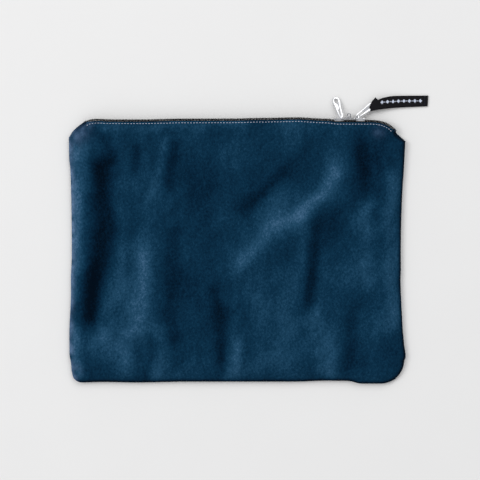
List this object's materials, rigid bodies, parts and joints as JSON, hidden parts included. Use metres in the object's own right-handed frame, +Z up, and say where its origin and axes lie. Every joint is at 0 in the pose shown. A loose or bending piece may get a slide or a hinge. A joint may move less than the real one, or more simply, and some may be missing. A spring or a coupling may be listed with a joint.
{
  "type": "zippered pouch",
  "caption": "Flat rectangular fabric pouch with a lined pocket, a coil zip along one long edge, lockable head-to-head sliders with pull tabs, and a folded ribbon label on one pull.",
  "frame": {"origin": "centre of the flat underside of the back panel, where the pouch rests", "axes": "+X runs right along the zip, +Y points out through the zip, +Z is up through the front panel"},
  "size_m": [0.3261, 0.2616, 0.014],
  "materials": {
    "shell_cloth": "brushed suede pile, teal navy",
    "lining_cloth": "plain woven lining, matte charcoal",
    "zip_tape": "black woven tape, matte",
    "zip_coil": "black nylon coil, satin",
    "seam_thread": "navy sewing thread",
    "topstitch_thread": "white sewing thread",
    "cast_metal": "nickel-plated zinc casting, bright",
    "ribbon": "black woven satin ribbon"
  },
  "bodies": {
    "root": {"back_panel": "shell_cloth", "back_lining": "lining_cloth", "back_tape": "zip_tape", "back_coil": "zip_coil", "back_topstitch": "topstitch_thread", "shell_seam_thread": "seam_thread", "lining_seam_thread": "seam_thread", "left_end_tack": "seam_thread", "right_end_tack": "seam_thread"},
    "front": {"front_panel": "shell_cloth", "front_lining": "lining_cloth", "front_tape": "zip_tape", "front_coil": "zip_coil", "front_topstitch": "topstitch_thread"},
    "left_slider": {"left_slider_body": "cast_metal"},
    "right_slider": {"right_slider_body": "cast_metal"},
    "left_pull": {"left_pull_tab": "cast_metal"},
    "right_pull": {"right_pull_tab": "cast_metal"},
    "label": {"ribbon_label": "ribbon", "label_stitch": "topstitch_thread"}
  },
  "joints": [
    {"name": "left_slider_travel", "type": "slide", "parent": "root", "child": "left_slider", "axis": [-1, 0, 0], "range_m": [0, 0.215], "deforming": ["front_coil", "back_coil", "front_tape", "back_tape"]},
    {"name": "right_slider_travel", "type": "slide", "parent": "root", "child": "right_slider", "axis": [1, 0, 0], "range_m": [0, 0.009]},
    {"name": "mouth_open", "type": "hinge", "parent": "root", "child": "front", "pos_m": [0, -0.1205, 0.00155], "axis": [1, 0, 0], "range_deg": [0, 9]},
    {"name": "left_pull_swing", "type": "hinge", "parent": "left_slider", "child": "left_pull", "pos_m": [0.0941, 0.1217, 0.007], "axis": [0, 0, 1], "range_deg": [-45, 70]},
    {"name": "right_pull_swing", "type": "hinge", "parent": "right_slider", "child": "right_pull", "pos_m": [0.1099, 0.1217, 0.007], "axis": [0, 0, 1], "range_deg": [-12, 70]},
    {"name": "label_swing", "type": "hinge", "parent": "right_pull", "child": "label", "pos_m": [0.12177, 0.13032, 0.00388], "axis": [0, 0, 1], "range_deg": [-8, 25]}
  ],
  "couplings": [
    {"joint": "mouth_open", "follows": "left_slider_travel", "rad_per_m": 0.73}
  ]
}
